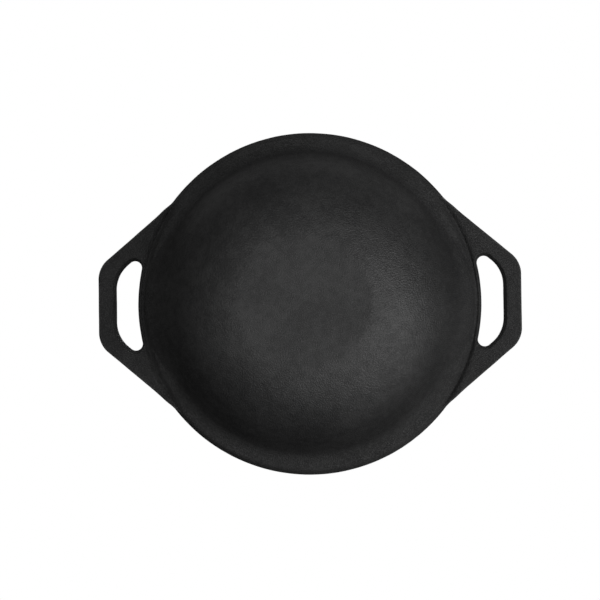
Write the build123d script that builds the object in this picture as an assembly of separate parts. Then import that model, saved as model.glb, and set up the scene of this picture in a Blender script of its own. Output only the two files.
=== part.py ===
from build123d import *
from math import acos, asin, atan2, cos, degrees, hypot, radians, sin, tan
import os

# Cast-iron kadai: a round-bottomed bowl on a flat foot, with a turned-out lip and two flat loop handles.
# The real thing is poured in one piece. It is divided here where its features meet: foot, bowl, lip, handles.
# Millimetres and degrees. Origin under the middle of the foot, +Z up out of the mouth, handles along X.

# Overall
rim_diameter = 261.0
height = 78.0

# Foot and bowl wall
foot_diameter = 95.0
foot_thickness = 5.0
wall = 4.0
foot_edge_angle = 7.0        # how steeply the bowl leaves the foot
wall_meeting = 41.15         # along that slope, from the foot's edge to where it meets the upper wall's line
inner_floor_radius = 44.0    # flat part of the floor inside

# Lip
lip_depth = 8.5              # from the lip's underside to the top of the rim
lip_angle = 8.0              # slope of the lip's underside
lip_flat = 1.8               # flat band on the lip's underside
lip_edge_width = 5.6         # from that band's outer end to the widest point of the rim
lip_edge_round = 4.0
lip_top_round = 1.5
lip_mouth_round = 11.0       # the inside wall turns over into the flat top of the rim
groove_round = 12.0          # the hollow between the wall and the lip

# Thickened roots under the handles
root_shift = 45.0            # how far each root's axis stands out from the bowl's
root_ease = 2.0              # how much flatter the root lies than a line that just touches the bowl
root_meets = 30.0            # slope of the lip's lower edge where the root runs out on it

# Handles
handle_reach = 30.6          # how far each handle stands out past the rim
handle_tip_width = 58.9      # along its outer side, before the corners are rounded
handle_side_inset = 4.0      # the line of a slanted side passes this far inside the rim's edge
handle_thickness = 6.5
handle_corner_round = 20.0
handle_edge_round = 1.2

# Slot in each handle, at the top face, where it is narrower
slot_rim_gap = 1.2           # metal between the slot and the rim
slot_outer_bar = 13.9        # metal between the slot and the handle's outer side
slot_side_bar = 13.5         # metal between the slot and the handle's slanted sides
slot_corner_round = 23.8
slot_end_round = 4.7
slot_draft = 12.0            # degrees, wider towards the underside
slot_top_round = 0.9
slot_under_round = 2.4

rim_radius = rim_diameter / 2
foot_radius = foot_diameter / 2
overrun = lip_depth

# The handles' sides slant from the outer corners in towards the rim
handle_span = rim_diameter + 2 * handle_reach
handle_tip = handle_span / 2
handle_corner = (handle_tip, handle_tip_width / 2)
handle_slope_offset = rim_radius - handle_side_inset
handle_lean = acos(handle_slope_offset / hypot(*handle_corner))
handle_slope_angle = degrees(atan2(handle_corner[1], handle_corner[0]) + handle_lean)
slot_inner_radius = rim_radius + slot_rim_gap
slot_outer_offset = handle_tip - slot_outer_bar
slot_slope_offset = handle_slope_offset - slot_side_bar


def step(start, slope, length):
    """The point that lies this far from start, along a slope in degrees."""
    return (start[0] + length * cos(radians(slope)), start[1] + length * sin(radians(slope)))


def corner(p, p_slope, q, q_slope):
    """Where the line through p and the line through q meet, each with its slope in degrees."""
    pc, ps = cos(radians(p_slope)), sin(radians(p_slope))
    qc, qs = cos(radians(q_slope)), sin(radians(q_slope))
    along = ((q[0] - p[0]) * qs - (q[1] - p[1]) * qc) / (pc * qs - ps * qc)
    return step(p, p_slope, along)


def turned(start, slope, new_slope, radius):
    """Ends of an arc that leaves start at one slope and ends at another: (middle, end)."""
    side = 1 if new_slope > slope else -1
    centre = step(start, slope + side * 90, radius)
    half = step(centre, (slope + new_slope) / 2 - side * 90, radius)
    return half, step(centre, new_slope - side * 90, radius)


def touching(p, q, radius):
    """Slope in degrees of the line through one of two points that touches a circle round the other."""
    away = (q[0] - p[0], q[1] - p[1])
    return degrees(atan2(away[1], away[0]) + asin(radius / hypot(*away)))


# Outside of the bowl and lip, from the foot's edge to the top of the rim. The straight upper wall runs from
# the point where the foot's slope meets it and touches the groove's round, and its slope follows from that.
foot_edge = (foot_radius, 0)
lip_edge = (rim_radius - lip_edge_width, height - lip_depth)
lip_root = step(lip_edge, lip_angle, -lip_flat)
groove_centre = step(lip_root, lip_angle - 90, groove_round)
bowl_corner = step(foot_edge, foot_edge_angle, wall_meeting)
wall_angle = touching(bowl_corner, groove_centre, groove_round)
groove_mid, groove_start = turned(lip_root, lip_angle + 180, wall_angle + 180, groove_round)
bowl_round = wall_meeting / tan(radians(wall_angle - foot_edge_angle) / 2)
bowl_mid, bowl_end = turned(foot_edge, foot_edge_angle, wall_angle, bowl_round)

# The lip's outer face touches two rounds: one at its lower edge, and a small one whose widest point is the
# rim's radius. Its slope follows from their centres and radii.
edge_centre = step(lip_edge, lip_angle + 90, lip_edge_round)
top_centre = (rim_radius - lip_top_round, height - lip_top_round)
rounds_apart = (top_centre[0] - edge_centre[0], top_centre[1] - edge_centre[1])
face_turn = degrees(asin((lip_edge_round - lip_top_round) / hypot(*rounds_apart)))
lip_edge_angle = degrees(atan2(rounds_apart[1], rounds_apart[0])) + face_turn
edge_mid, edge_end = turned(lip_edge, lip_angle, lip_edge_angle, lip_edge_round)
top_start = step(top_centre, lip_edge_angle - 90, lip_top_round)
top_mid = step(top_centre, lip_edge_angle / 2, lip_top_round)
top_end = (top_centre[0], height)

# Inside: over the rim, down the wall and across the floor
inner_wall = step(groove_start, wall_angle + 90, wall)
mouth_corner = corner(inner_wall, wall_angle, top_end, 0)
mouth_run = lip_mouth_round * tan(radians(wall_angle) / 2)
mouth_start = (mouth_corner[0] + mouth_run, height)
mouth_mid, mouth_end = turned(mouth_start, 180, 180 + wall_angle, lip_mouth_round)
floor_corner = corner(inner_wall, wall_angle, (inner_floor_radius, foot_thickness), 0)
floor_run = floor_corner[0] - inner_floor_radius
floor_round = floor_run / tan(radians(wall_angle) / 2)
floor_start = (inner_floor_radius, foot_thickness)
floor_mid, floor_end = turned(floor_start, 0, wall_angle, floor_round)


def revolved(*edges):
    """A solid turned about Z from a closed outline in the XZ plane."""
    return revolve(make_face(Plane.XZ * Wire(edges)), Axis.Z)


def line(a, b):
    return Line(a, b).edge()


def arc(a, b, c):
    return ThreePointArc(a, b, c).edge()


def outer_body():
    """The bowl and lip as a filled solid, without the cavity."""
    return revolved(
        line((0, 0), foot_edge),
        arc(foot_edge, bowl_mid, bowl_end),
        line(bowl_end, groove_start),
        arc(groove_start, groove_mid, lip_root),
        line(lip_root, lip_edge),
        arc(lip_edge, edge_mid, edge_end),
        line(edge_end, top_start),
        arc(top_start, top_mid, top_end),
        line(top_end, (0, height)),
        line((0, height), (0, 0)),
    )


def cavity():
    """The space inside, as a filled solid that runs past the rim."""
    return revolved(
        line((0, foot_thickness), floor_start),
        arc(floor_start, floor_mid, floor_end),
        line(floor_end, mouth_end),
        arc(mouth_end, mouth_mid, mouth_start),
        line(mouth_start, (mouth_start[0], height + overrun)),
        line((mouth_start[0], height + overrun), (0, height + overrun)),
        line((0, height + overrun), (0, foot_thickness)),
    )


def handle_root(side):
    """The thickening that carries a handle: a leaning cone whose top reaches the round of the lip's edge."""
    bowl_centre = step(foot_edge, foot_edge_angle + 90, bowl_round)
    top = step(edge_centre, root_meets - 90, lip_edge_round)
    slope = touching(bowl_centre, top, bowl_round) - root_ease
    top_radius = top[0] - root_shift
    depth = top[1] - bowl_end[1] + wall
    low_radius = top_radius - depth / tan(radians(slope))
    root = Cone(low_radius, top_radius, depth, align=(Align.CENTER, Align.CENTER, Align.MAX))
    return Pos(side * root_shift, 0, top[1]) * root


def slanted(offset, x):
    """Y of a slanted side at a given X, for the side that faces up and out."""
    facing = radians(handle_slope_angle)
    return (offset - x * cos(facing)) / sin(facing)


def handle_outline():
    """Plan of both handles. Their straight sides run into the lip, and their inner ends lie inside it."""
    inner = rim_radius * cos(radians(handle_slope_angle))
    half = Polygon(
        handle_corner,
        (inner, slanted(handle_slope_offset, inner)),
        (inner, -slanted(handle_slope_offset, inner)),
        (handle_corner[0], -handle_corner[1]),
        align=None,
    )
    tips = [v for v in half.vertices() if v.X > rim_radius]
    half = fillet(tips, handle_corner_round)
    return half + mirror(half, Plane.YZ)


def slot_plan():
    """Plan of the right-hand slot at the top face: a D with its curved side along the rim."""
    far = slanted(slot_slope_offset, slot_outer_offset)
    near = slanted(slot_slope_offset, slot_inner_radius / 2)
    wedge = Polygon(
        (slot_outer_offset, far),
        (slot_inner_radius / 2, near),
        (slot_inner_radius / 2, -near),
        (slot_outer_offset, -far),
        align=None,
    )
    corners = [v for v in wedge.vertices() if v.X > slot_inner_radius]
    wedge = fillet(corners, slot_corner_round)
    slot = wedge - Circle(slot_inner_radius)
    ends = [v for v in slot.vertices() if abs(hypot(v.X, v.Y) - slot_inner_radius) < slot_rim_gap]
    return fillet(ends, slot_end_round)


def handle_plates():
    """Both handle plates in one flat blank, rounded along its edges and slotted."""
    under = height - handle_thickness
    blank = extrude(Pos(0, 0, under) * handle_outline(), handle_thickness)
    rims = blank.faces().filter_by(Axis.Z)
    blank = fillet(rims.edges(), handle_edge_round)
    for side in (1, -1):
        slot = slot_plan() if side > 0 else mirror(slot_plan(), Plane.YZ)
        cutter = extrude(Pos(0, 0, height) * slot, -handle_thickness, taper=-slot_draft)
        blank = blank - cutter
        for face_height, size in ((height, slot_top_round), (under, slot_under_round)):
            mouth = [e for e in blank.edges() if is_slot_mouth(e, side, face_height)]
            blank = fillet(mouth, size)
    return blank


def is_slot_mouth(edge, side, face_height):
    """Whether an edge runs round a slot at the height of the top or the under face."""
    box = edge.bounding_box()
    level = abs(box.max.Z - box.min.Z) < slot_top_round / 2
    at_face = abs(box.max.Z - face_height) < slot_top_round / 2
    middle = edge.center()
    facing = radians(handle_slope_angle)
    along_slope = abs(middle.X) * cos(facing) + abs(middle.Y) * sin(facing)
    margin = handle_thickness * tan(radians(slot_draft)) + slot_top_round
    within = side * middle.X < slot_outer_offset + margin and along_slope < slot_slope_offset + margin
    return level and at_face and side * middle.X > slot_inner_radius / 2 and within


def write(name, solid):
    export_step(solid, f"parts/{name}.step")
    print(name, "volume", round(solid.volume / 1000, 1), "cm3")


os.makedirs("parts", exist_ok=True)

filled = outer_body() + handle_root(1) + handle_root(-1)
shell = filled - cavity()

# Foot and bowl part on an upright cylinder, bowl and lip on a level plane where the groove starts
foot_cut = Cylinder(foot_radius, height, align=(Align.CENTER, Align.CENTER, Align.MIN))
lip_cut = Pos(0, 0, groove_start[1]) * Cylinder(
    rim_radius + overrun, height, align=(Align.CENTER, Align.CENTER, Align.MIN)
)
write("foot_disc", shell & foot_cut)
write("bowl_wall", shell - foot_cut - lip_cut)
write("rim_lip", (shell & lip_cut) - foot_cut)

plates = (handle_plates() - filled).solids().sort_by(Axis.X)
write("handle_left", plates[0])
write("handle_right", plates[-1])
print("bowl arc", round(bowl_round, 1), "floor arc", round(floor_round, 1), "plates", len(plates))
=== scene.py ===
import bpy
import numpy as np
from mathutils import Matrix, Vector


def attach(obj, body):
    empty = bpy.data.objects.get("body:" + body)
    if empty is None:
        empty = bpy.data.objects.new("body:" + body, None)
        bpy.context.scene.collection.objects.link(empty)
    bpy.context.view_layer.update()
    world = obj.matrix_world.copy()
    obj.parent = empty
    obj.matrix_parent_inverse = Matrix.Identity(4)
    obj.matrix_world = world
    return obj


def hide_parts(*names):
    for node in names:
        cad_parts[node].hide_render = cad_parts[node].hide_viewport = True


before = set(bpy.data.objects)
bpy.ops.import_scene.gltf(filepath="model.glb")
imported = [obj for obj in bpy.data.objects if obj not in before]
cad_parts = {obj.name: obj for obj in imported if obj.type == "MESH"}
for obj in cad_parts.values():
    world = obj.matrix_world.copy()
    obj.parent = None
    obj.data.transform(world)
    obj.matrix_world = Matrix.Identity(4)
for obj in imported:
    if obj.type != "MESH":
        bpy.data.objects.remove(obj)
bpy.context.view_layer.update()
mm = 0.001
print("frame loaded")

# Stage, in metres: a pale floor that can't be seen from below, a white background and soft lamps
stage = {
    "floorRadius": 3.0,
    "floorDrop": 0.0008,         # how far it lies under the foot
    "floorTurns": 96,
    "floorRings": 8,
    "floorColour": (0.78, 0.78, 0.77, 1.0),
    "floorRoughness": 0.9,
    "floorGloss": 0.1,
    "overheadFrom": 0.955,       # how nearly straight up a reflected ray points before it sees white
    "overheadTo": 0.985,
}

# Soft glows of the room round the object: the direction that each lies in, the cosines of the angle
# from it at which the glow starts and is full, and its brightness
glows = [
    ((0.0, 0.0, -1.0), 0.2, 1.0, 0.72),
    ((0.0, -0.766, 0.643), 0.35, 1.0, 0.193),
    ((0.766, 0.0, 0.643), 0.35, 1.0, 0.085),
    ((-0.766, 0.0, 0.643), 0.35, 1.0, 0.023),
    ((0.483, -0.837, 0.259), 0.5, 1.0, 0.043),
]

# name: where it stands, the point it faces, width in metres, watts
lamps = {
    "lampFacing": ((0.142, 0.052, -1.442), (0, 0, 0.04), 1.2, 2.2),
    "lampKey": ((0.900, 0.401, -0.770), (0, 0, 0.04), 0.85, 6.6),
    "lampSide": ((1.065, 0.496, -0.428), (0, 0, 0.04), 1.0, 2.7),
    "lampAbove": ((0.05, -0.15, 1.85), (0, 0, 0.05), 1.1, 26.0),
}


def nodesOf(idBlock):
    # An empty node tree for a world or a material.
    idBlock.use_nodes = True
    tree = idBlock.node_tree
    tree.nodes.clear()
    return tree, tree.nodes, tree.links


def feed(tree, value, socket):
    # A number or a colour is set on the socket, and another node's output is linked to it.
    if isinstance(value, (int, float, tuple)):
        socket.default_value = value
    else:
        tree.links.new(value, socket)


def mathNode(tree, kind, a, b, clamp=False):
    node = tree.nodes.new("ShaderNodeMath")
    node.operation = kind
    node.use_clamp = clamp
    feed(tree, a, node.inputs[0])
    feed(tree, b, node.inputs[1])
    return node.outputs[0]


def rangeNode(tree, value, low, high, toLow=0.0, toHigh=1.0):
    # Runs smoothly from one level to another while the value goes from low to high.
    node = tree.nodes.new("ShaderNodeMapRange")
    node.interpolation_type = "SMOOTHSTEP"
    bounds = {"From Min": low, "From Max": high, "To Min": toLow, "To Max": toHigh}
    for name, number in bounds.items():
        node.inputs[name].default_value = number
    tree.links.new(value, node.inputs["Value"])
    return node.outputs["Result"]


def makeWorld():
    # White behind the object for the camera, and soft glows in a dark room for everything else.
    bpy.context.scene.view_settings.view_transform = "Standard"
    world = bpy.data.worlds.new("whiteRoom")
    bpy.context.scene.world = world
    tree, nodes, links = nodesOf(world)
    rays = nodes.new("ShaderNodeLightPath")
    where = nodes.new("ShaderNodeTexCoord")
    parts = nodes.new("ShaderNodeSeparateXYZ")
    links.new(where.outputs["Generated"], parts.inputs[0])
    overhead = rangeNode(tree, parts.outputs["Z"], stage["overheadFrom"], stage["overheadTo"])
    shiny = mathNode(tree, "MAXIMUM", rays.outputs["Is Glossy Ray"],
                     rays.outputs["Is Transmission Ray"])
    light = mathNode(tree, "MULTIPLY", shiny, overhead)
    for way, low, high, strength in glows:
        turn = nodes.new("ShaderNodeVectorMath")
        turn.operation = "DOT_PRODUCT"
        turn.inputs[1].default_value = way
        links.new(where.outputs["Generated"], turn.inputs[0])
        glow = rangeNode(tree, turn.outputs["Value"], low, high, 0.0, strength)
        light = mathNode(tree, "ADD", light, glow)
    background = nodes.new("ShaderNodeBackground")
    background.inputs["Color"].default_value = (1, 1, 1, 1)
    seen = rays.outputs["Is Camera Ray"]
    unseen = mathNode(tree, "MULTIPLY", light, mathNode(tree, "SUBTRACT", 1.0, seen))
    links.new(mathNode(tree, "ADD", seen, unseen), background.inputs["Strength"])
    out = nodes.new("ShaderNodeOutputWorld")
    links.new(background.outputs[0], out.inputs["Surface"])


def gridQuads(rows, columns, closed=True):
    # Corner numbers of the faces of a grid of points that are numbered row by row. Each face joins
    # neighbouring rows and columns. The last column joins the first, and in a closed grid the last
    # row joins the first too.
    row, column = np.arange(rows if closed else rows - 1)[:, None], np.arange(columns)
    nextRow, nextColumn = (row + 1) % rows, (column + 1) % columns
    return np.stack([row * columns + column, nextRow * columns + column,
                     nextRow * columns + nextColumn, row * columns + nextColumn], -1).reshape(-1, 4)


def makeFloor():
    # A disc of rings, closer together near the middle. It is clear from below, and for all but the
    # camera, so that every lamp's light passes it.
    turns, rings = stage["floorTurns"], stage["floorRings"]
    angle = np.linspace(0, 2 * np.pi, turns, endpoint=False)
    radius = stage["floorRadius"] * (np.arange(1, rings + 1) / rings) ** 2
    x = np.outer(radius, np.cos(angle)).ravel()
    y = np.outer(radius, np.sin(angle)).ravel()
    z = np.full(x.size + 1, -stage["floorDrop"])
    points = np.column_stack([np.append(x, 0), np.append(y, 0), z])
    step = np.arange(turns)
    fan = np.column_stack([np.full(turns, x.size), step, (step + 1) % turns])
    mesh = bpy.data.meshes.new("paleFloor")
    quads = gridQuads(rings, turns, closed=False)
    mesh.from_pydata(points.tolist(), [], quads.tolist() + fan.tolist())
    floor = bpy.data.objects.new("paleFloor", mesh)
    bpy.context.collection.objects.link(floor)
    material = bpy.data.materials.new("paleFloor")
    tree, nodes, links = nodesOf(material)
    rays = nodes.new("ShaderNodeLightPath")
    facing = nodes.new("ShaderNodeNewGeometry")
    fromAbove = mathNode(tree, "SUBTRACT", 1.0, facing.outputs["Backfacing"])
    clear = nodes.new("ShaderNodeBsdfTransparent")
    paint = nodes.new("ShaderNodeBsdfPrincipled")
    paint.inputs["Base Color"].default_value = stage["floorColour"]
    paint.inputs["Roughness"].default_value = stage["floorRoughness"]
    paint.inputs["Specular IOR Level"].default_value = stage["floorGloss"]
    mix = nodes.new("ShaderNodeMixShader")
    links.new(mathNode(tree, "MULTIPLY", rays.outputs["Is Camera Ray"], fromAbove), mix.inputs[0])
    links.new(clear.outputs[0], mix.inputs[1])
    links.new(paint.outputs[0], mix.inputs[2])
    out = nodes.new("ShaderNodeOutputMaterial")
    links.new(mix.outputs[0], out.inputs["Surface"])
    mesh.materials.append(material)


def makeLamps():
    # Round soft boxes that the camera doesn't see.
    for name, (spot, target, width, watts) in lamps.items():
        data = bpy.data.lights.new(name, "AREA")
        data.shape = "DISK"
        data.size = width
        data.energy = watts
        lamp = bpy.data.objects.new(name, data)
        lamp.location = spot
        lamp.rotation_euler = (Vector(target) - Vector(spot)).to_track_quat("-Z", "Y").to_euler()
        lamp.visible_camera = False
        bpy.context.collection.objects.link(lamp)


# The photo looks straight at the underside, a few degrees off the bowl's axis. Millimetres and degrees.
photoCamera = {
    "rimHeight": 78.0,
    "distance": 1100.0,          # from the plane of the rim
    "offRight": 2.65,            # off the axis, to the picture's right and down
    "offDown": 1.2,
    "roll": 0.75,                # the pan is turned this far anticlockwise in the picture
    "mmPerPixel": 0.7636,        # at the rim
    "rimAt": (308.9, 303.5),     # pixel of the rim's middle
    "frameSize": 600,
    "sensor": 36.0,
}


def makeCamera():
    # It stands off the rim's middle by the two angles, and aims at the point of the rim's plane that
    # lies in the middle of the picture.
    cam = photoCamera
    roll = np.radians(cam["roll"])
    across = Vector((np.cos(roll), np.sin(roll), 0))
    upward = Vector((np.sin(roll), -np.cos(roll), 0))
    rim = Vector((0, 0, cam["rimHeight"]))
    half = cam["frameSize"] / 2
    right, down = (cam["mmPerPixel"] * (cam["rimAt"][i] - half) for i in (0, 1))
    aim = rim - across * right + upward * down
    offRight, offDown = np.tan(np.radians(cam["offRight"])), np.tan(np.radians(cam["offDown"]))
    spot = rim + cam["distance"] * Vector((offRight, offDown, -1))
    back = (spot - aim).normalized()
    side = upward.cross(back).normalized()
    data = bpy.data.cameras.new("photoCamera")
    data.sensor_width = cam["sensor"]
    data.lens = cam["sensor"] * cam["distance"] / (cam["frameSize"] * cam["mmPerPixel"])
    camera = bpy.data.objects.new("photoCamera", data)
    turn = Matrix((side, back.cross(side), back)).transposed().to_4x4()
    camera.matrix_world = Matrix.Translation(spot * mm) @ turn
    bpy.context.collection.objects.link(camera)
    bpy.context.scene.camera = camera


makeWorld()
makeFloor()
makeLamps()
makeCamera()
print("stage and camera ready")

# The bowl's section, walked from under the middle of the foot, out, up, over the rim and down inside.
# Slopes are in degrees from straight out. Millimetres.
panSection = {
    "start": (0.0, 0.0),
    "walk": [                    # reach a radius or climb to a height at a slope, or turn by an arc
        ("reach", 0.0, 45.8625), ("turn", 0.0, 3.864, 24.3), ("mark", "footOut"),
        ("turn", 3.864, 8.581, 24.3), ("turn", 8.581, 66.0, 72.7328),
        ("climb", 66.0, 62.2472), ("mark", "lipOut"),
        ("turn", 66.0, 8.0, 12.0), ("reach", 8.0, 124.9), ("mark", "edge"),
        ("turn", 8.0, 59.846, 4.0), ("climb", 59.846, 75.7465), ("mark", "top"),
        ("turn", 59.846, 180.0, 1.5), ("mark", "flat"),
        ("reach", 180.0, 123.6037), ("mark", "over"), ("turn", 180.0, 246.0, 11.0),
        ("climb", 246.0, 62.2472), ("mark", "lipIn"),
        ("climb", 246.0, 41.5034), ("turn", 246.0, 183.261, 61.5304), ("mark", "footIn"),
        ("turn", 183.261, 180.0, 61.5304), ("reach", 180.0, 0.0),
    ],
    "spacing": 1.1,
    "fewestOnArc": 5,
    "fewestOnRun": 2,
    "turns": 480,
    "rubAt": (130.2, 77.2),      # the rim's outer edge is worn most here
    "rubSpread": 3.0,            # square millimetres
    "oiled": (-2.0, 9.0),        # the oiled inside starts and is full this far along past the rim's top
    "sandy": (52.0, 68.0),       # heights between which the outside turns from fine to sandy
}

# The thickening under each handle: a cone that leans out from the bowl and runs out on the lip's
# lower edge
handleRoot = {
    "shift": 45.0,
    "topRadius": 81.343,
    "topHeight": 69.997,
    "slope": 52.564,
    "from": 26.0,                # it starts at this height and is full this much higher
    "over": 12.0,
    "blendLow": 5.0,             # how softly it grows out of the wall
    "blendHigh": 1.6,            # and out of the lip
    "blendFrom": 58.0,           # the one gives way to the other from this height, over this much
    "blendOver": 12.0,
}

# A shallow trough where the bowl runs into each handle's underside
handleCrease = {
    "at": 126.7,                 # radius of its middle
    "wide": 2.3,
    "depth": 3.0,
    "fade": (30.0, 43.0),        # directions from the handle, in degrees, between which it fades out
    "upTo": 76.0,                # no effect above this height, and the full depth this much lower
    "over": 3.0,
}

# Unevenness of the sand mould, cut into the surface
castSkin = {
    "seed": 7,
    "waves": 26,
    "lengths": (7.0, 34.0),      # millimetres from crest to crest
    "depth": 0.10,
}

sharpAngle = 50.0                # faces that meet at more than this are shaded with an edge


def walkSection(section):
    # Runs and arcs laid end to end: each arc turns the heading evenly about a centre one radius to its
    # side. Gives the points, their outward normals, and the row number of each named mark.
    points, normals, marks = [np.array(section["start"])], [np.array((0.0, -1.0))], {}

    def heading(slope):
        return np.stack([np.cos(np.radians(slope)), np.sin(np.radians(slope))], -1)

    def outward(slope):
        return np.stack([np.sin(np.radians(slope)), -np.cos(np.radians(slope))], -1)

    def steps(length, fewest):
        return max(int(np.ceil(length / section["spacing"])), fewest)

    for kind, *step in section["walk"]:
        here = points[-1]
        if kind == "mark":
            marks[step[0]] = len(points) - 1
        elif kind == "turn":
            slopeIn, slopeOut, radius = step
            side = np.sign(slopeOut - slopeIn)
            count = steps(np.radians(abs(slopeOut - slopeIn)) * radius, section["fewestOnArc"])
            slopes = np.linspace(slopeIn, slopeOut, count + 1)
            centre = here - side * radius * outward(slopeIn)
            points.extend((centre + side * radius * outward(slopes))[1:])
            normals.extend(outward(slopes)[1:])
        else:
            slope, goal = step
            axis = 0 if kind == "reach" else 1
            length = (goal - here[axis]) / heading(slope)[axis]
            count = steps(length, section["fewestOnRun"])
            points.extend(here + np.linspace(0, length, count + 1)[1:, None] * heading(slope))
            normals.extend(np.tile(outward(slope), (count, 1)))
    return np.array(points), np.array(normals), marks


def eased(value, low, high):
    # From 0 at low to 1 at high, level at both ends: three squares less two cubes of the share between.
    t = np.clip((value - low) / (high - low), 0, 1)
    return t * t * (3 - 2 * t)


def softMax(a, b, width):
    # The larger of two surfaces, with a parabola in between where they are closer than the width.
    gap = np.clip((width - np.abs(a - b)) / width, 0, 1)
    return np.maximum(a, b) + width * gap ** 2 / 4


def rootRadius(angle, z):
    # Distance from the bowl's axis to the leaning cone, whose own axis is shifted towards each handle:
    # the shift along the angle, plus what is left of the cone's radius after the shift across it.
    root = handleRoot
    cone = root["topRadius"] - (root["topHeight"] - z) / np.tan(np.radians(root["slope"]))
    along = root["shift"] * np.abs(np.cos(angle))
    across = root["shift"] * np.sin(angle)
    return along + np.sqrt(np.maximum(cone ** 2 - across ** 2, 0))


def creased(p):
    # Points moved upwards along a ring by a bell curve of their distance from it.
    dent = handleCrease
    away = np.hypot(p[:, 0], p[:, 1])
    aside = np.degrees(np.arctan2(np.abs(p[:, 1]), np.abs(p[:, 0])))
    bell = np.exp(-((away - dent["at"]) / dent["wide"]) ** 2)
    lift = dent["depth"] * bell * (1 - eased(aside, *dent["fade"]))
    return p + np.outer(lift * np.clip((dent["upTo"] - p[:, 2]) / dent["over"], 0, 1), (0, 0, 1))


def castHeight(p):
    # Sum of seeded sine waves in random directions, from 0 down to the full depth. The longer a wave,
    # the higher it is, as the root of its length.
    skin = castSkin
    dice = np.random.default_rng(skin["seed"])
    way = dice.normal(size=(skin["waves"], 3))
    way /= np.linalg.norm(way, axis=1)[:, None]
    low, high = np.log(skin["lengths"])
    length = np.exp(dice.uniform(low, high, skin["waves"]))
    phase = dice.uniform(0, 2 * np.pi, skin["waves"])
    weight = length ** 0.5
    wave = np.zeros(len(p))
    for towards, crest, start, share in zip(way, length, phase, weight):
        wave += share * np.sin(p @ towards * (2 * np.pi / crest) + start)
    wave /= np.sqrt((weight ** 2).sum() / 2) * 2
    return -skin["depth"] * np.clip(wave + 1, 0, 2) / 2


def makeMesh(name, points, quads, caps, values):
    # Millimetre points into a mesh, its faces turned outwards by the sign of the volume they enclose.
    # The values, one for each point, are kept under their names for the material.
    tris = np.concatenate([quads[:, [0, 1, 2]], quads[:, [0, 2, 3]], caps])
    a, b, c = points[tris[:, 0]], points[tris[:, 1]], points[tris[:, 2]]
    if np.einsum("ij,ij->i", a, np.cross(b, c)).sum() < 0:
        quads, caps = quads[:, ::-1], caps[:, ::-1]
    mesh = bpy.data.meshes.new(name)
    mesh.from_pydata((points * mm).tolist(), [], quads.tolist() + caps.tolist())
    mesh.polygons.foreach_set("use_smooth", np.ones(len(mesh.polygons), dtype=bool))
    for label, numbers in values.items():
        layer = mesh.attributes.new(label, "FLOAT", "POINT")
        layer.data.foreach_set("value", np.ascontiguousarray(numbers, dtype=np.float32))
    mesh.set_sharp_from_angle(angle=np.radians(sharpAngle))
    mesh.update()
    piece = bpy.data.objects.new(name, mesh)
    bpy.context.collection.objects.link(piece)
    return piece


section, sectionNormals, marks = walkSection(panSection)
walked = np.append(0, np.cumsum(np.hypot(*np.diff(section, axis=0).T)))   # length along the section

# Where along the section the skin is rubbed, oiled smooth (inside) or sandy (on the lip)
rubAway = ((section - panSection["rubAt"]) ** 2).sum(1)
oiledFrom, oiledTo = walked[marks["over"]] + np.array(panSection["oiled"])
sectionValues = {
    "rub": np.exp(-rubAway / panSection["rubSpread"]),
    "inside": eased(walked, oiledFrom, oiledTo),
}
sectionValues["sandy"] = eased(section[:, 1], *panSection["sandy"]) * (1 - sectionValues["inside"])


def turnedPiece(name, rows, poles=False):
    # The section's rows turned about the upright axis: the radius times the angle's cosine and sine.
    # Outside, the radius is the larger of the section's and the handle root's. A piece with poles is
    # closed by a fan at its first and last row, and any other piece's rows close on themselves.
    turns, root = panSection["turns"], handleRoot
    angle = np.linspace(0, 2 * np.pi, turns, endpoint=False)
    outside = rows < marks["top"]
    r, z = section[rows, 0][:, None], section[rows, 1][:, None]
    nr, nz = sectionNormals[rows, 0][:, None], sectionNormals[rows, 1][:, None]
    rise = np.clip((z - root["blendFrom"]) / root["blendOver"], 0, 1)
    width = root["blendLow"] + (root["blendHigh"] - root["blendLow"]) * rise
    grown = eased(z, root["from"], root["from"] + root["over"]) * outside[:, None]
    r = r + (softMax(r, rootRadius(angle, z), width) - r) * grown
    points = np.stack([r * np.cos(angle), r * np.sin(angle), z + 0 * angle], -1).reshape(-1, 3)
    normals = np.stack([nr * np.cos(angle), nr * np.sin(angle), nz + 0 * angle], -1).reshape(-1, 3)
    points = points + castHeight(points)[:, None] * normals
    outer = np.repeat(outside, turns)
    points[outer] = creased(points[outer])
    if not poles:
        values = {label: np.repeat(each[rows], turns) for label, each in sectionValues.items()}
        return makeMesh(name, points, gridQuads(len(rows), turns), np.empty((0, 3), int), values)
    rings, ends = rows[1:-1], rows[[0, -1]]
    shell = points.reshape(len(rows), turns, 3)
    points = np.vstack([shell[1:-1].reshape(-1, 3), shell[[0, -1]].mean(1)])
    values = {label: np.append(np.repeat(each[rings], turns), each[ends])
              for label, each in sectionValues.items()}
    step = np.arange(turns)
    nextStep = (step + 1) % turns
    low = len(rings) * turns     # number of the lower middle point, and the upper one follows it
    last = low - turns
    caps = np.concatenate([np.column_stack([np.full(turns, low), step, nextStep]),
                           np.column_stack([np.full(turns, low + 1), last + nextStep, last + step])])
    return makeMesh(name, points, gridQuads(len(rings), turns, closed=False), caps, values)


row = np.arange(len(section))
footRows = np.concatenate([row[: marks["footOut"] + 1], row[marks["footIn"]:]])
wallRows = np.concatenate([row[marks["footOut"]: marks["lipOut"] + 1],
                           row[marks["lipIn"]: marks["footIn"] + 1]])
lipRows = row[marks["lipOut"]: marks["lipIn"] + 1]
footDisc = turnedPiece("footDisc", footRows, poles=True)
bowlWall = turnedPiece("bowlWall", wallRows)
rimLip = turnedPiece("rimLip", lipRows)
print("foot, wall and lip built")

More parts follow.
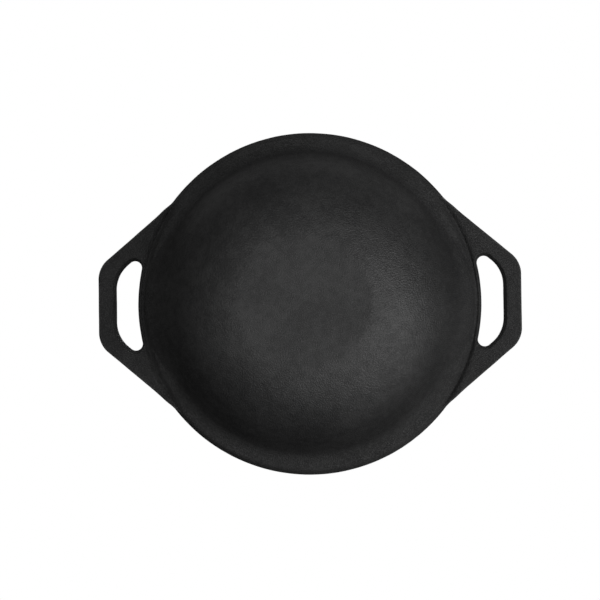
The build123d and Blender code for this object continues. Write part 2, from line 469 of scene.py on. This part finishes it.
# A handle plate in plan: a blunt loop round a D-shaped slot, its necks running out into the rim.
# The upper half is drawn and mirrored. Lengths in millimetres, directions in degrees.
handlePlate = {
    "top": 78.0,
    "under": 71.5,
    "tip": 161.1,
    "faces": 49.787,             # the direction that a slanted side faces
    "sideOffset": 126.5,         # its distance from the bowl's axis
    "cornerRound": 20.0,
    "neckRound": 180.0,
    "rimRadius": 130.5,
    "hidden": 125.4,             # radius of the end that lies inside the lip
    "hiddenTo": 45.5,            # direction where that end stops
    "rimFrom": 44.4,             # and where the outline is back at the rim
    "edgeRound": 1.2,
    "slotTip": 147.2,
    "slotInner": 131.7,
    "slotOffset": 113.0,
    "slotCorner": 23.8,
    "slotEnd": 4.7,
    "slotDraft": 22.0,           # the slot is wider towards the underside
    "topMouth": 0.9,             # how far the slot's edges are rounded, above and below
    "lowMouth": 0.9,
    "neckFrom": 33.0,            # directions between which the outer wall leans in to the lip
    "neckTo": 43.0,
    "tuck": 0.35,                # how deep it lies inside the lip after that
    # Near the lip the underside turns down to it and the top sinks into it: inside this radius, by
    # the depth given once it is this much nearer the axis
    "lipFillet": {"from": 128.6, "over": 3.0, "by": 0.6, "most": 1.2},
    "topDip": {"from": 129.0, "over": 0.8, "by": 0.5},
    "blendHeight": 2.0,          # how far from the underside and the top these two die out
    "columns": (30, 60, 56, 4, 32, 12),  # runs of columns along half an outline
    "hiddenKnot": 13.0,          # the outer outline's first run ends in this direction
    "sideKnots": (145.0, 147.5),     # its third and fourth end this far out on the slanted side
    "near": (2.7, 2.2, 1.8, 1.5),    # rows of the flat faces this far in from the outer edge
    "nearTop": 0.4,              # they lie further in by this on the top
    "nearUnder": 0.1,            # and further out on the underside
    "mouthRows": (8, 6),         # round the slot's lower and upper edge
    "wallRows": 4,
    "edgeRows": 7,
    "middleRows": 12,
}

# How far the black is rubbed off along a handle's section
handleRub = {"slotUnder": 0.3, "slotWall": 0.1, "slotTop": 0.7, "edge": 1.0, "side": 0.25, "face": 0.0}

outlineStep = 0.2                # millimetres between the points that an outline is first drawn with
fewestOnArc = 8
fewestOnLine = 4


def polar(radius, direction):
    # The point at this radius in this direction, in degrees.
    return radius * np.array((np.cos(np.radians(direction)), np.sin(np.radians(direction))))


def arcPath(centre, radius, start, end, inwards=False):
    # Rows of x, y and the direction out of the outline, along an arc between two directions: the centre
    # plus the radius times the direction's cosine and sine.
    length = abs(np.radians(end - start)) * radius
    t = np.radians(np.linspace(start, end, max(int(length / outlineStep), fewestOnArc)))
    way = np.column_stack([np.cos(t), np.sin(t)])
    return np.hstack([np.asarray(centre) + radius * way, -way if inwards else way])


def straightPath(a, b, facing):
    # The same along a straight line from a to b, with one direction all the way.
    run = np.subtract(b, a)
    t = np.linspace(0, 1, max(int(np.hypot(*run) / outlineStep), fewestOnLine))[:, None]
    return np.hstack([np.asarray(a) + t * run, np.tile(facing, (len(t), 1))])


def spread(path, count):
    # The path at even steps of its length, without its last point.
    along = np.append(0, np.cumsum(np.hypot(*np.diff(path[:, :2], axis=0).T)))
    at = np.linspace(0, along[-1], count + 1)[:-1]
    return np.column_stack([np.interp(at, along, column) for column in path.T])


def spreadTo(path, knots, columns):
    # The same between knots, which are places given as x, y; each run of columns ends at one.
    nearest = [int(np.hypot(*(path[:, :2] - knot).T).argmin()) for knot in knots]
    ends = [0] + nearest + [len(path) - 1]
    return np.vstack([spread(path[a: b + 1], n) for a, b, n in zip(ends[:-1], ends[1:], columns)])


def plateOutlines(plate):
    # Outer and slot outlines of the upper half, column by column, from the rim side to the outer side.
    # Each is a chain of arcs and lines that touch. An arc's centre lies one radius from both things
    # that it touches, and its direction follows from the cosine of the two distances.
    faces, rim, tip = plate["faces"], plate["rimRadius"], plate["tip"]
    neck, corner, side = plate["neckRound"], plate["cornerRound"], plate["sideOffset"]
    facing = polar(1, faces)

    def heightAt(offset, x):
        return (offset - x * facing[0]) / facing[1]

    hidden, hiddenTo, rimFrom = plate["hidden"], plate["hiddenTo"], plate["rimFrom"]
    neckAt = faces - np.degrees(np.arccos((side + neck) / (rim + neck)))
    neckCentre = polar(rim + neck, neckAt)
    cornerCentre = np.array((tip - corner, heightAt(side - corner, tip - corner)))
    outer = np.vstack([
        arcPath((0, 0), hidden, 0, hiddenTo, inwards=True),
        straightPath(polar(hidden, hiddenTo), polar(rim, rimFrom), polar(1, hiddenTo + 90)),
        arcPath((0, 0), rim, rimFrom, neckAt),
        arcPath(neckCentre, neck, neckAt + 180, faces + 180, inwards=True),
        straightPath(neckCentre - neck * facing, cornerCentre + corner * facing, facing),
        arcPath(cornerCentre, corner, faces, 0),
        straightPath((tip, cornerCentre[1]), (tip, 0), (1, 0)),
    ])
    inner, end, slotCorner = plate["slotInner"], plate["slotEnd"], plate["slotCorner"]
    slotTip, offset = plate["slotTip"], plate["slotOffset"]
    endAt = faces - np.degrees(np.arccos((offset - end) / (inner + end)))
    endCentre = polar(inner + end, endAt)
    slotX = slotTip - slotCorner
    slotCentre = np.array((slotX, heightAt(offset - slotCorner, slotX)))
    slot = np.vstack([
        arcPath((0, 0), inner, 0, endAt, inwards=True),
        arcPath(endCentre, end, endAt + 180, faces),
        straightPath(endCentre + end * facing, slotCentre + slotCorner * facing, facing),
        arcPath(slotCentre, slotCorner, faces, 0),
        straightPath((slotTip, slotCentre[1]), (slotTip, 0), (1, 0)),
    ])
    outerKnots = [polar(hidden, plate["hiddenKnot"]), polar(hidden, hiddenTo),
                  *((x, heightAt(side, x)) for x in plate["sideKnots"]), (tip, slotCentre[1])]
    slotKnots = [polar(inner, endAt), endCentre + polar(end, (endAt + 180 + faces) / 2),
                 endCentre + end * facing, slotCentre + slotCorner * facing, (slotTip, slotCentre[1])]
    return spreadTo(outer, outerKnots, plate["columns"]), spreadTo(slot, slotKnots, plate["columns"])


def wholeLoop(half, last):
    # The upper half, its last point on the middle line, then the lower half back again.
    upper = np.vstack([half, last])
    return np.vstack([upper, upper[-2:0:-1] * (1, -1, 1, -1)])


def plateArc(x, z, radius, start, end, count, rub):
    # Rows of distance, height and rub along an arc of the plate's section, between two directions.
    t = np.radians(np.linspace(start, end, count))
    return np.column_stack([x + radius * np.cos(t), z + radius * np.sin(t), np.full(count, rub)])


def plateLine(a, b, count, rub):
    # Rows spread evenly between two others, without either.
    share = np.linspace(0, 1, count + 2)[1:-1, None]
    return np.column_stack([(a + share * (b - a))[:, :2], np.full(count, rub)])


def plateRows(plate):
    # One closed round of the plate's section, as rows of distance from the slot's or the plate's
    # outline, height and rub. The arcs of the slot's mouths touch its leaning wall: their centres lie
    # one radius from wall and face.
    draft, edge, rub = plate["slotDraft"], plate["edgeRound"], handleRub
    high, low, top, under = plate["topMouth"], plate["lowMouth"], plate["top"], plate["under"]
    lean = np.radians(draft)

    def mouth(z, radius, start, end, count, rubbed):
        x = (radius + (top - z) * np.sin(lean)) / np.cos(lean)
        return plateArc(x, z, radius, start, end, count, rubbed)

    lowCount, topCount = plate["mouthRows"]
    lowMouth = mouth(under + low, low, 270, 180 + draft, lowCount, rub["slotUnder"])
    topMouth = mouth(top - high, high, 180 + draft, 90, topCount, rub["slotTop"])
    slotWall = plateLine(lowMouth[-1], topMouth[0], plate["wallRows"], rub["slotWall"])
    topEdge = plateArc(edge, top - edge, edge, 90, 180, plate["edgeRows"], rub["edge"])
    lowEdge = plateArc(edge, under + edge, edge, 180, 270, plate["edgeRows"], rub["edge"])
    outerWall = plateLine(topEdge[-1], lowEdge[0], plate["wallRows"], rub["side"])
    near = np.array(plate["near"])
    face = np.full(near.size, rub["face"])
    nearTop = np.column_stack([near + plate["nearTop"], np.full(near.size, top), face])
    nearUnder = np.column_stack([near[::-1] - plate["nearUnder"], np.full(near.size, under), face])
    slotSide = np.vstack([lowMouth, slotWall, topMouth])
    return slotSide, np.vstack([nearTop, topEdge, outerWall, lowEdge, nearUnder])


def platePoints(plate):
    # The section's rows carried round the two outlines: a point lies on its outline, moved along the
    # outline's direction by the row's distance. The rows of the flat faces between are mixed evenly.
    slotSide, outerSide = plateRows(plate)
    outer, slot = plateOutlines(plate)
    outer = wholeLoop(outer, (plate["tip"], 0, 1, 0))
    slot = wholeLoop(slot, (plate["slotTip"], 0, 1, 0))
    slotXy = slot[:, :2] + slotSide[:, 0][:, None, None] * slot[:, 2:]
    outerXy = outer[:, :2] - outerSide[:, 0][:, None, None] * outer[:, 2:]
    # Past the necks the outer wall is drawn in to just inside the lip's face
    lipFace = section[marks["edge"]: marks["flat"] + 1]
    lipAt = np.interp(outerSide[:, 1], lipFace[:, 1], lipFace[:, 0])
    roundAt = np.degrees(np.abs(np.arctan2(outer[:, 1], outer[:, 0])))
    share = eased(roundAt, plate["neckFrom"], plate["neckTo"])
    reach = np.hypot(outerXy[..., 0], outerXy[..., 1])
    past = np.maximum(reach - (lipAt - plate["tuck"])[:, None], 0)
    outerXy *= (1 - share * past / reach)[..., None]
    n, top, under = plate["middleRows"], plate["top"], plate["under"]
    mix = np.linspace(0, 1, n + 2)[1:-1, None, None]
    xy = np.vstack([slotXy, slotXy[-1] + mix * (outerXy[0] - slotXy[-1]),
                    outerXy, outerXy[-1] + mix * (slotXy[0] - outerXy[-1])])
    z = np.concatenate([slotSide[:, 1], np.full(n, top), outerSide[:, 1], np.full(n, under)])
    face = np.full(n, handleRub["face"])
    rub = np.concatenate([slotSide[:, 2], face, outerSide[:, 2], face])
    z = z[:, None] + np.zeros(xy.shape[:2])
    away = np.hypot(xy[..., 0], xy[..., 1])
    blend, fillet, dip = plate["blendHeight"], plate["lipFillet"], plate["topDip"]
    low = np.clip((under + blend - z) / blend, 0, 1)
    high = np.clip((z - top + blend) / blend, 0, 1)
    turned = np.clip((fillet["from"] - away) / fillet["over"], 0, fillet["most"]) ** 2
    sunk = np.clip((dip["from"] - away) / dip["over"], 0, 1)
    z = z - low * fillet["by"] * turned - high * dip["by"] * sunk
    return np.concatenate([xy, z[..., None]], -1), rub


def gridNormals(grid, level=0.7):
    # Normals of a grid of points that closes on itself both ways: the cross product of the steps along
    # it. The flat faces, whose normals point nearly straight up or down, turn them out of the solid.
    down = np.roll(grid, -1, 0) - np.roll(grid, 1, 0)
    across = np.roll(grid, -1, 1) - np.roll(grid, 1, 1)
    normal = np.cross(down, across)
    normal /= np.maximum(np.linalg.norm(normal, axis=-1, keepdims=True), 1e-9)
    upper = np.sign(grid[..., 2] - (grid[..., 2].max() + grid[..., 2].min()) / 2)
    flat = np.abs(normal[..., 2]) > level
    normal *= np.sign((normal[..., 2] * upper)[flat].sum())
    normal[..., 2] = np.where(flat, np.abs(normal[..., 2]) * upper, normal[..., 2])
    return normal


def handlePiece(name, side):
    # The plate, mirrored by the sign of its side, with the mould's unevenness and the crease.
    grid, rub = platePoints(handlePlate)
    grid = grid * (side, 1, 1)
    n, m = grid.shape[:2]
    points = grid.reshape(-1, 3)
    points = creased(points + castHeight(points)[:, None] * gridNormals(grid).reshape(-1, 3))
    values = {"rub": np.repeat(rub, m), "inside": np.zeros(n * m), "sandy": np.ones(n * m)}
    return makeMesh(name, points, gridQuads(n, m), np.empty((0, 3), int), values)


handleRight = handlePiece("handleRight", 1)
handleLeft = handlePiece("handleLeft", -1)
print("handles built")


# Shared effects, all placed by object coordinates in metres. Noises are scale, detail and roughness.

def nodeGroup(name, numbers, outputs):
    # A group that takes a place and some numbers, with their defaults, and gives plain values.
    group = bpy.data.node_groups.new(name, "ShaderNodeTree")
    group.interface.new_socket(name="Place", in_out="INPUT", socket_type="NodeSocketVector")
    for label, value in numbers.items():
        socket = group.interface.new_socket(name=label, in_out="INPUT", socket_type="NodeSocketFloat")
        socket.default_value = value
    for label in outputs:
        group.interface.new_socket(name=label, in_out="OUTPUT", socket_type="NodeSocketFloat")
    return group, group.nodes.new("NodeGroupInput").outputs, group.nodes.new("NodeGroupOutput").inputs


def noiseNode(tree, place, scale, detail=2.0, roughness=0.5, distortion=0.0):
    node = tree.nodes.new("ShaderNodeTexNoise")
    settings = {"Scale": scale, "Detail": detail, "Roughness": roughness, "Distortion": distortion}
    for name, value in settings.items():
        feed(tree, value, node.inputs[name])
    tree.links.new(place, node.inputs["Vector"])
    return node.outputs["Fac"]


sandSkin = {
    "pebbles": (1.0, 0.5, 0.2),      # detail, roughness and twist; each material sets their scale
    "pebbleRange": (0.25, 0.75),
    "grains": (2300.0, 1.0, 0.5),
    "sharp": (1300.0, 2.0, 0.6),
    "sharpRange": (0.35, 0.65),
    "grainHeight": 0.6,          # over the pebbles, where the skin is fine
    "sharpHeight": 1.6,          # and where it is sandy
    "pebbleHeight": 0.4,
    "fineSpeckle": 0.6,          # share of the speckle that a fine skin shows
}


def makePebbleSkin():
    # Skin of the sand mould, smooth pebbles where it is fine and sharp grains where it is sandy.
    skin = sandSkin
    tree, inputs, outputs = nodeGroup("pebbleSkin", {"Size": 800.0, "Sandy": 0.0}, ("Height", "Grit"))
    place, sandy = inputs["Place"], inputs["Sandy"]
    pebbles = noiseNode(tree, place, inputs["Size"], *skin["pebbles"])
    pebbles = rangeNode(tree, pebbles, *skin["pebbleRange"])
    grains = noiseNode(tree, place, *skin["grains"])
    sharp = rangeNode(tree, noiseNode(tree, place, *skin["sharp"]), *skin["sharpRange"])
    fine = mathNode(tree, "ADD", pebbles, mathNode(tree, "MULTIPLY", grains, skin["grainHeight"]))
    rough = mathNode(tree, "ADD", mathNode(tree, "MULTIPLY", sharp, skin["sharpHeight"]),
                     mathNode(tree, "MULTIPLY", pebbles, skin["pebbleHeight"]))
    step = mathNode(tree, "MULTIPLY", mathNode(tree, "SUBTRACT", rough, fine), sandy)
    tree.links.new(mathNode(tree, "ADD", fine, step), outputs["Height"])
    share = rangeNode(tree, sandy, 0.0, 1.0, skin["fineSpeckle"], 1.0)
    speckle = mathNode(tree, "MULTIPLY", mathNode(tree, "SUBTRACT", sharp, 0.5), share)
    tree.links.new(speckle, outputs["Grit"])
    return tree


pitLook = {
    "ragged": (900.0, 1.0),
    "raggedLeast": 0.5,          # added to the raggedness before it scales the radius
    "chosen": (0.70, 0.95),      # only cells whose random number is this high have a pit
    "bottom": 0.6,               # share of the way in from its edge at which it is at its deepest
}


def makeCastPits():
    # Small ragged holes near the middle of a few cells: one less the distance over the radius.
    look = pitLook
    tree, inputs, outputs = nodeGroup("castPits", {"Cells": 60.0, "Radius": 0.05}, ("Pit",))
    ragged = noiseNode(tree, inputs["Place"], *look["ragged"])
    cells = tree.nodes.new("ShaderNodeTexVoronoi")
    tree.links.new(inputs["Place"], cells.inputs["Vector"])
    tree.links.new(inputs["Cells"], cells.inputs["Scale"])
    parts = tree.nodes.new("ShaderNodeSeparateColor")
    tree.links.new(cells.outputs["Color"], parts.inputs[0])
    chosen = rangeNode(tree, parts.outputs[0], *look["chosen"])
    uneven = mathNode(tree, "MULTIPLY", chosen, mathNode(tree, "ADD", ragged, look["raggedLeast"]))
    size = mathNode(tree, "ADD", mathNode(tree, "MULTIPLY", inputs["Radius"], uneven), 1e-4)
    depth = mathNode(tree, "SUBTRACT", 1.0, mathNode(tree, "DIVIDE", cells.outputs["Distance"], size))
    tree.links.new(rangeNode(tree, depth, 0.0, look["bottom"]), outputs["Pit"])
    return tree


oilLook = {"broad": (24.0, 2.0), "mottle": (165.0, 3.0, 0.6), "range": (0.3, 0.7)}


def makeOiledPatches():
    # Slow changes of the baked oil, and a finer mottling, both from 0 to 1.
    tree, inputs, outputs = nodeGroup("oiledPatches", {}, ("Broad", "Mottle"))
    for label, noise in (("Broad", oilLook["broad"]), ("Mottle", oilLook["mottle"])):
        patches = rangeNode(tree, noiseNode(tree, inputs["Place"], *noise), *oilLook["range"])
        tree.links.new(patches, outputs[label])
    return tree


wearLook = {"broken": (95.0, 4.0, 0.65), "edgeShare": 0.55, "range": (0.85, 1.2)}


def makeRubbedEdges():
    # Where the black has worn thin: along edges, in broken stretches.
    look = wearLook
    tree, inputs, outputs = nodeGroup("rubbedEdges", {"Edge": 0.0}, ("Worn",))
    broken = noiseNode(tree, inputs["Place"], *look["broken"])
    edge = mathNode(tree, "MULTIPLY", inputs["Edge"], look["edgeShare"])
    total = mathNode(tree, "ADD", edge, broken)
    tree.links.new(rangeNode(tree, total, *look["range"]), outputs["Worn"])
    return tree


effects = {"pebbleSkin": makePebbleSkin(), "castPits": makeCastPits(),
           "oiledPatches": makeOiledPatches(), "rubbedEdges": makeRubbedEdges()}
print("shared effects ready")

castIron = {
    "pebbles": 1000.0, "depth": 0.00021,     # scale of the skin, and height of its bump in metres
    "grit": 1.5,                             # how strongly the speckle shows
    "cells": 42.0, "pitRadius": 0.05, "pitDepth": 2.0,
    "dark": (0.005, 0.005, 0.0052, 1.0), "light": (0.025, 0.025, 0.025, 1.0),
    "smoothest": 0.44, "roughest": 0.56,
    "sandRough": 0.18,                       # how much rougher the sandy skin is
    "oiledSkin": 0.3,                        # share of the bump that is left on the oiled inside
    "oiledShine": 0.10,                      # and how much smoother it is
    "wornColour": (0.050, 0.050, 0.050, 1.0), "worn": 0.3,
    "ior": 1.5,
}
footIron = {**castIron, "pebbles": 1050.0, "depth": 0.00020, "smoothest": 0.48}
lipIron = {**castIron, "cells": 70.0, "worn": 0.5,
           "dark": (0.0045, 0.0045, 0.0047, 1.0), "light": (0.024, 0.024, 0.024, 1.0)}
handleIron = {**castIron, "cells": 90.0, "pitRadius": 0.08, "worn": 0.6,
              "dark": (0.0025, 0.0025, 0.0027, 1.0), "light": (0.024, 0.024, 0.024, 1.0)}


def ironMaterial(name, look):
    # Baked black over cast iron. The mesh's own values say where the edges, the sandy skin and the
    # oiled inside are.
    material = bpy.data.materials.new(name)
    tree, nodes, links = nodesOf(material)
    place = nodes.new("ShaderNodeTexCoord").outputs["Object"]

    def effect(label, **values):
        node = nodes.new("ShaderNodeGroup")
        node.node_tree = effects[label]
        links.new(place, node.inputs["Place"])
        for key, value in values.items():
            feed(tree, value, node.inputs[key])
        return node.outputs

    def attribute(label):
        node = nodes.new("ShaderNodeAttribute")
        node.attribute_name = label
        return node.outputs["Fac"]

    def blendColour(share, a, b):
        node = nodes.new("ShaderNodeMix")
        node.data_type = "RGBA"
        links.new(share, node.inputs["Factor"])
        feed(tree, a, node.inputs[6])        # the two colours of a colour mix
        feed(tree, b, node.inputs[7])
        return node.outputs[2]

    inside, sandy = attribute("inside"), attribute("sandy")
    pebbled = effect("pebbleSkin", Size=look["pebbles"], Sandy=sandy)
    pit = effect("castPits", Cells=look["cells"], Radius=look["pitRadius"])["Pit"]
    oil = effect("oiledPatches")
    rubbed = effect("rubbedEdges", Edge=attribute("rub"))["Worn"]
    worn = mathNode(tree, "MULTIPLY", rubbed, look["worn"])
    skinShare = rangeNode(tree, inside, 0, 1, 1.0, look["oiledSkin"])
    skin = mathNode(tree, "MULTIPLY", pebbled["Height"], skinShare)
    height = mathNode(tree, "SUBTRACT", skin, mathNode(tree, "MULTIPLY", pit, look["pitDepth"]))
    bump = nodes.new("ShaderNodeBump")
    bump.inputs["Strength"].default_value = 1.0
    bump.inputs["Distance"].default_value = look["depth"]
    links.new(height, bump.inputs["Height"])
    patches = mathNode(tree, "MULTIPLY", mathNode(tree, "ADD", oil["Mottle"], oil["Broad"]), 0.5)
    speckle = mathNode(tree, "MULTIPLY", pebbled["Grit"], look["grit"])
    tone = mathNode(tree, "ADD", patches, speckle, clamp=True)
    colour = blendColour(worn, blendColour(tone, look["dark"], look["light"]), look["wornColour"])
    rough = rangeNode(tree, tone, 0, 1, look["roughest"], look["smoothest"])
    rough = mathNode(tree, "ADD", rough, mathNode(tree, "MULTIPLY", sandy, look["sandRough"]))
    rough = mathNode(tree, "SUBTRACT", rough, mathNode(tree, "MULTIPLY", inside, look["oiledShine"]))
    iron = nodes.new("ShaderNodeBsdfPrincipled")
    iron.inputs["IOR"].default_value = look["ior"]
    links.new(colour, iron.inputs["Base Color"])
    links.new(rough, iron.inputs["Roughness"])
    links.new(bump.outputs["Normal"], iron.inputs["Normal"])
    out = nodes.new("ShaderNodeOutputMaterial")
    links.new(iron.outputs[0], out.inputs["Surface"])
    return material


swaps = {
    "foot_disc": (footDisc, ironMaterial("footIron", footIron)),
    "bowl_wall": (bowlWall, ironMaterial("wallIron", castIron)),
    "rim_lip": (rimLip, ironMaterial("lipIron", lipIron)),
    "handle_right": (handleRight, ironMaterial("handleIronRight", handleIron)),
    "handle_left": (handleLeft, ironMaterial("handleIronLeft", handleIron)),
}
for node, (piece, material) in swaps.items():
    piece.data.materials.append(material)
    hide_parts(node)
    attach(piece, "root")
print("materials assigned")
